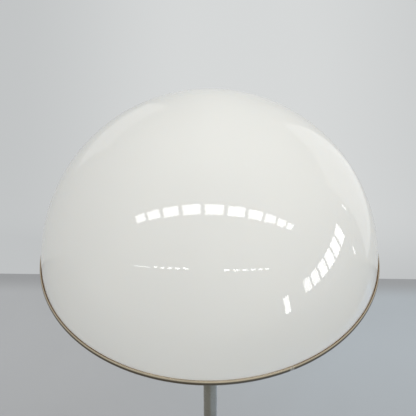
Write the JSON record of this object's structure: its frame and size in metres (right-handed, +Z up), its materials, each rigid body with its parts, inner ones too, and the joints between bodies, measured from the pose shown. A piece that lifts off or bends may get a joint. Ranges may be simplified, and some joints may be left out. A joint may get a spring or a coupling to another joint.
{
  "type": "mushroom floor lamp",
  "caption": "Floor lamp with a white hemispherical shade in a slim metal rim, a thin straight stem and a flat round weighted foot; bulbs on a cone head, switched by a pull chain.",
  "frame": {"origin": "centre of the foot's resting face", "axes": "+Z up the stem; front towards -Y"},
  "size_m": [0.5, 0.4999, 1.3],
  "materials": {
    "dome": "gloss opal acrylic",
    "rim_metal": "champagne anodised",
    "satin_nickel": "satin",
    "cast_iron": "black primer",
    "felt": "felt",
    "black_rubber": "matte",
    "silicone": "matte",
    "zinc_steel": "zinc plated",
    "brass": "satin",
    "terminal_plastic": "matte",
    "lead_sheath": "matte",
    "white_phenolic": "semi-gloss",
    "porcelain": "glazed ceramic",
    "bulb_cap_metal": "satin",
    "opal_glass": "opal coated"
  },
  "bodies": {
    "stand": {"arm_screws": "zinc_steel", "base_cover": "satin_nickel", "base_felt": "felt", "base_nut": "zinc_steel", "base_terminal_block": "terminal_plastic", "base_terminal_screws": "brass", "base_washer": "zinc_steel", "base_weight": "cast_iron", "bulb_cap_back": "bulb_cap_metal", "bulb_cap_left": "bulb_cap_metal", "bulb_cap_right": "bulb_cap_metal", "bulb_glass_back": "opal_glass", "bulb_glass_left": "opal_glass", "bulb_glass_right": "opal_glass", "centre_contacts": "brass", "cord_gland": "black_rubber", "earth_tag": "brass", "foot_bush": "zinc_steel", "foot_collar": "satin_nickel", "head_cap": "satin_nickel", "head_cone": "satin_nickel", "head_leads": "lead_sheath", "head_nut": "zinc_steel", "head_terminal_block": "terminal_plastic", "head_washer": "zinc_steel", "holder_cap_back": "white_phenolic", "holder_cap_left": "white_phenolic", "holder_cap_right": "white_phenolic", "holder_insert_back": "porcelain", "holder_insert_left": "porcelain", "holder_insert_right": "porcelain", "holder_nipples": "zinc_steel", "holder_skirt_back": "white_phenolic", "holder_skirt_left": "white_phenolic", "holder_skirt_right": "white_phenolic", "nipple_nuts": "zinc_steel", "screw_shell_back": "brass", "screw_shell_left": "brass", "screw_shell_right": "brass", "seat_pins": "zinc_steel", "seat_washers": "silicone", "spider_arm_back": "satin_nickel", "spider_arm_left": "satin_nickel", "spider_arm_right": "satin_nickel", "spider_hub": "satin_nickel", "stem_lead": "lead_sheath", "stem_tube": "satin_nickel", "switch_bushing": "brass", "switch_case": "terminal_plastic", "switch_nut": "brass", "switch_spring": "zinc_steel", "tie_rod": "zinc_steel"},
    "shade": {"dome": "dome", "rim_band": "rim_metal", "rim_tabs": "rim_metal", "rim_joiner": "rim_metal", "joiner_screws": "zinc_steel"},
    "pull_piston": {"switch_piston": "brass"},
    "chain": {"pull_chain": "brass", "pull_bell": "brass"}
  },
  "joints": [
    {"name": "shade_lift", "type": "slide", "parent": "stand", "child": "shade", "axis": [0, 0, 1], "range_m": [0, 0.2]},
    {"name": "chain_pull", "type": "slide", "parent": "stand", "child": "pull_piston", "axis": [0, 0, -1], "range_m": [0, 0.01], "stiffness_N_per_m": 500, "springref_m": -0.002, "deforming": ["switch_spring"]},
    {"name": "chain_swing", "type": "hinge", "parent": "pull_piston", "child": "chain", "pos_m": [0, -0.02993, 1.033], "axis": [0, 1, 0], "range_deg": [-25, 25]}
  ]
}
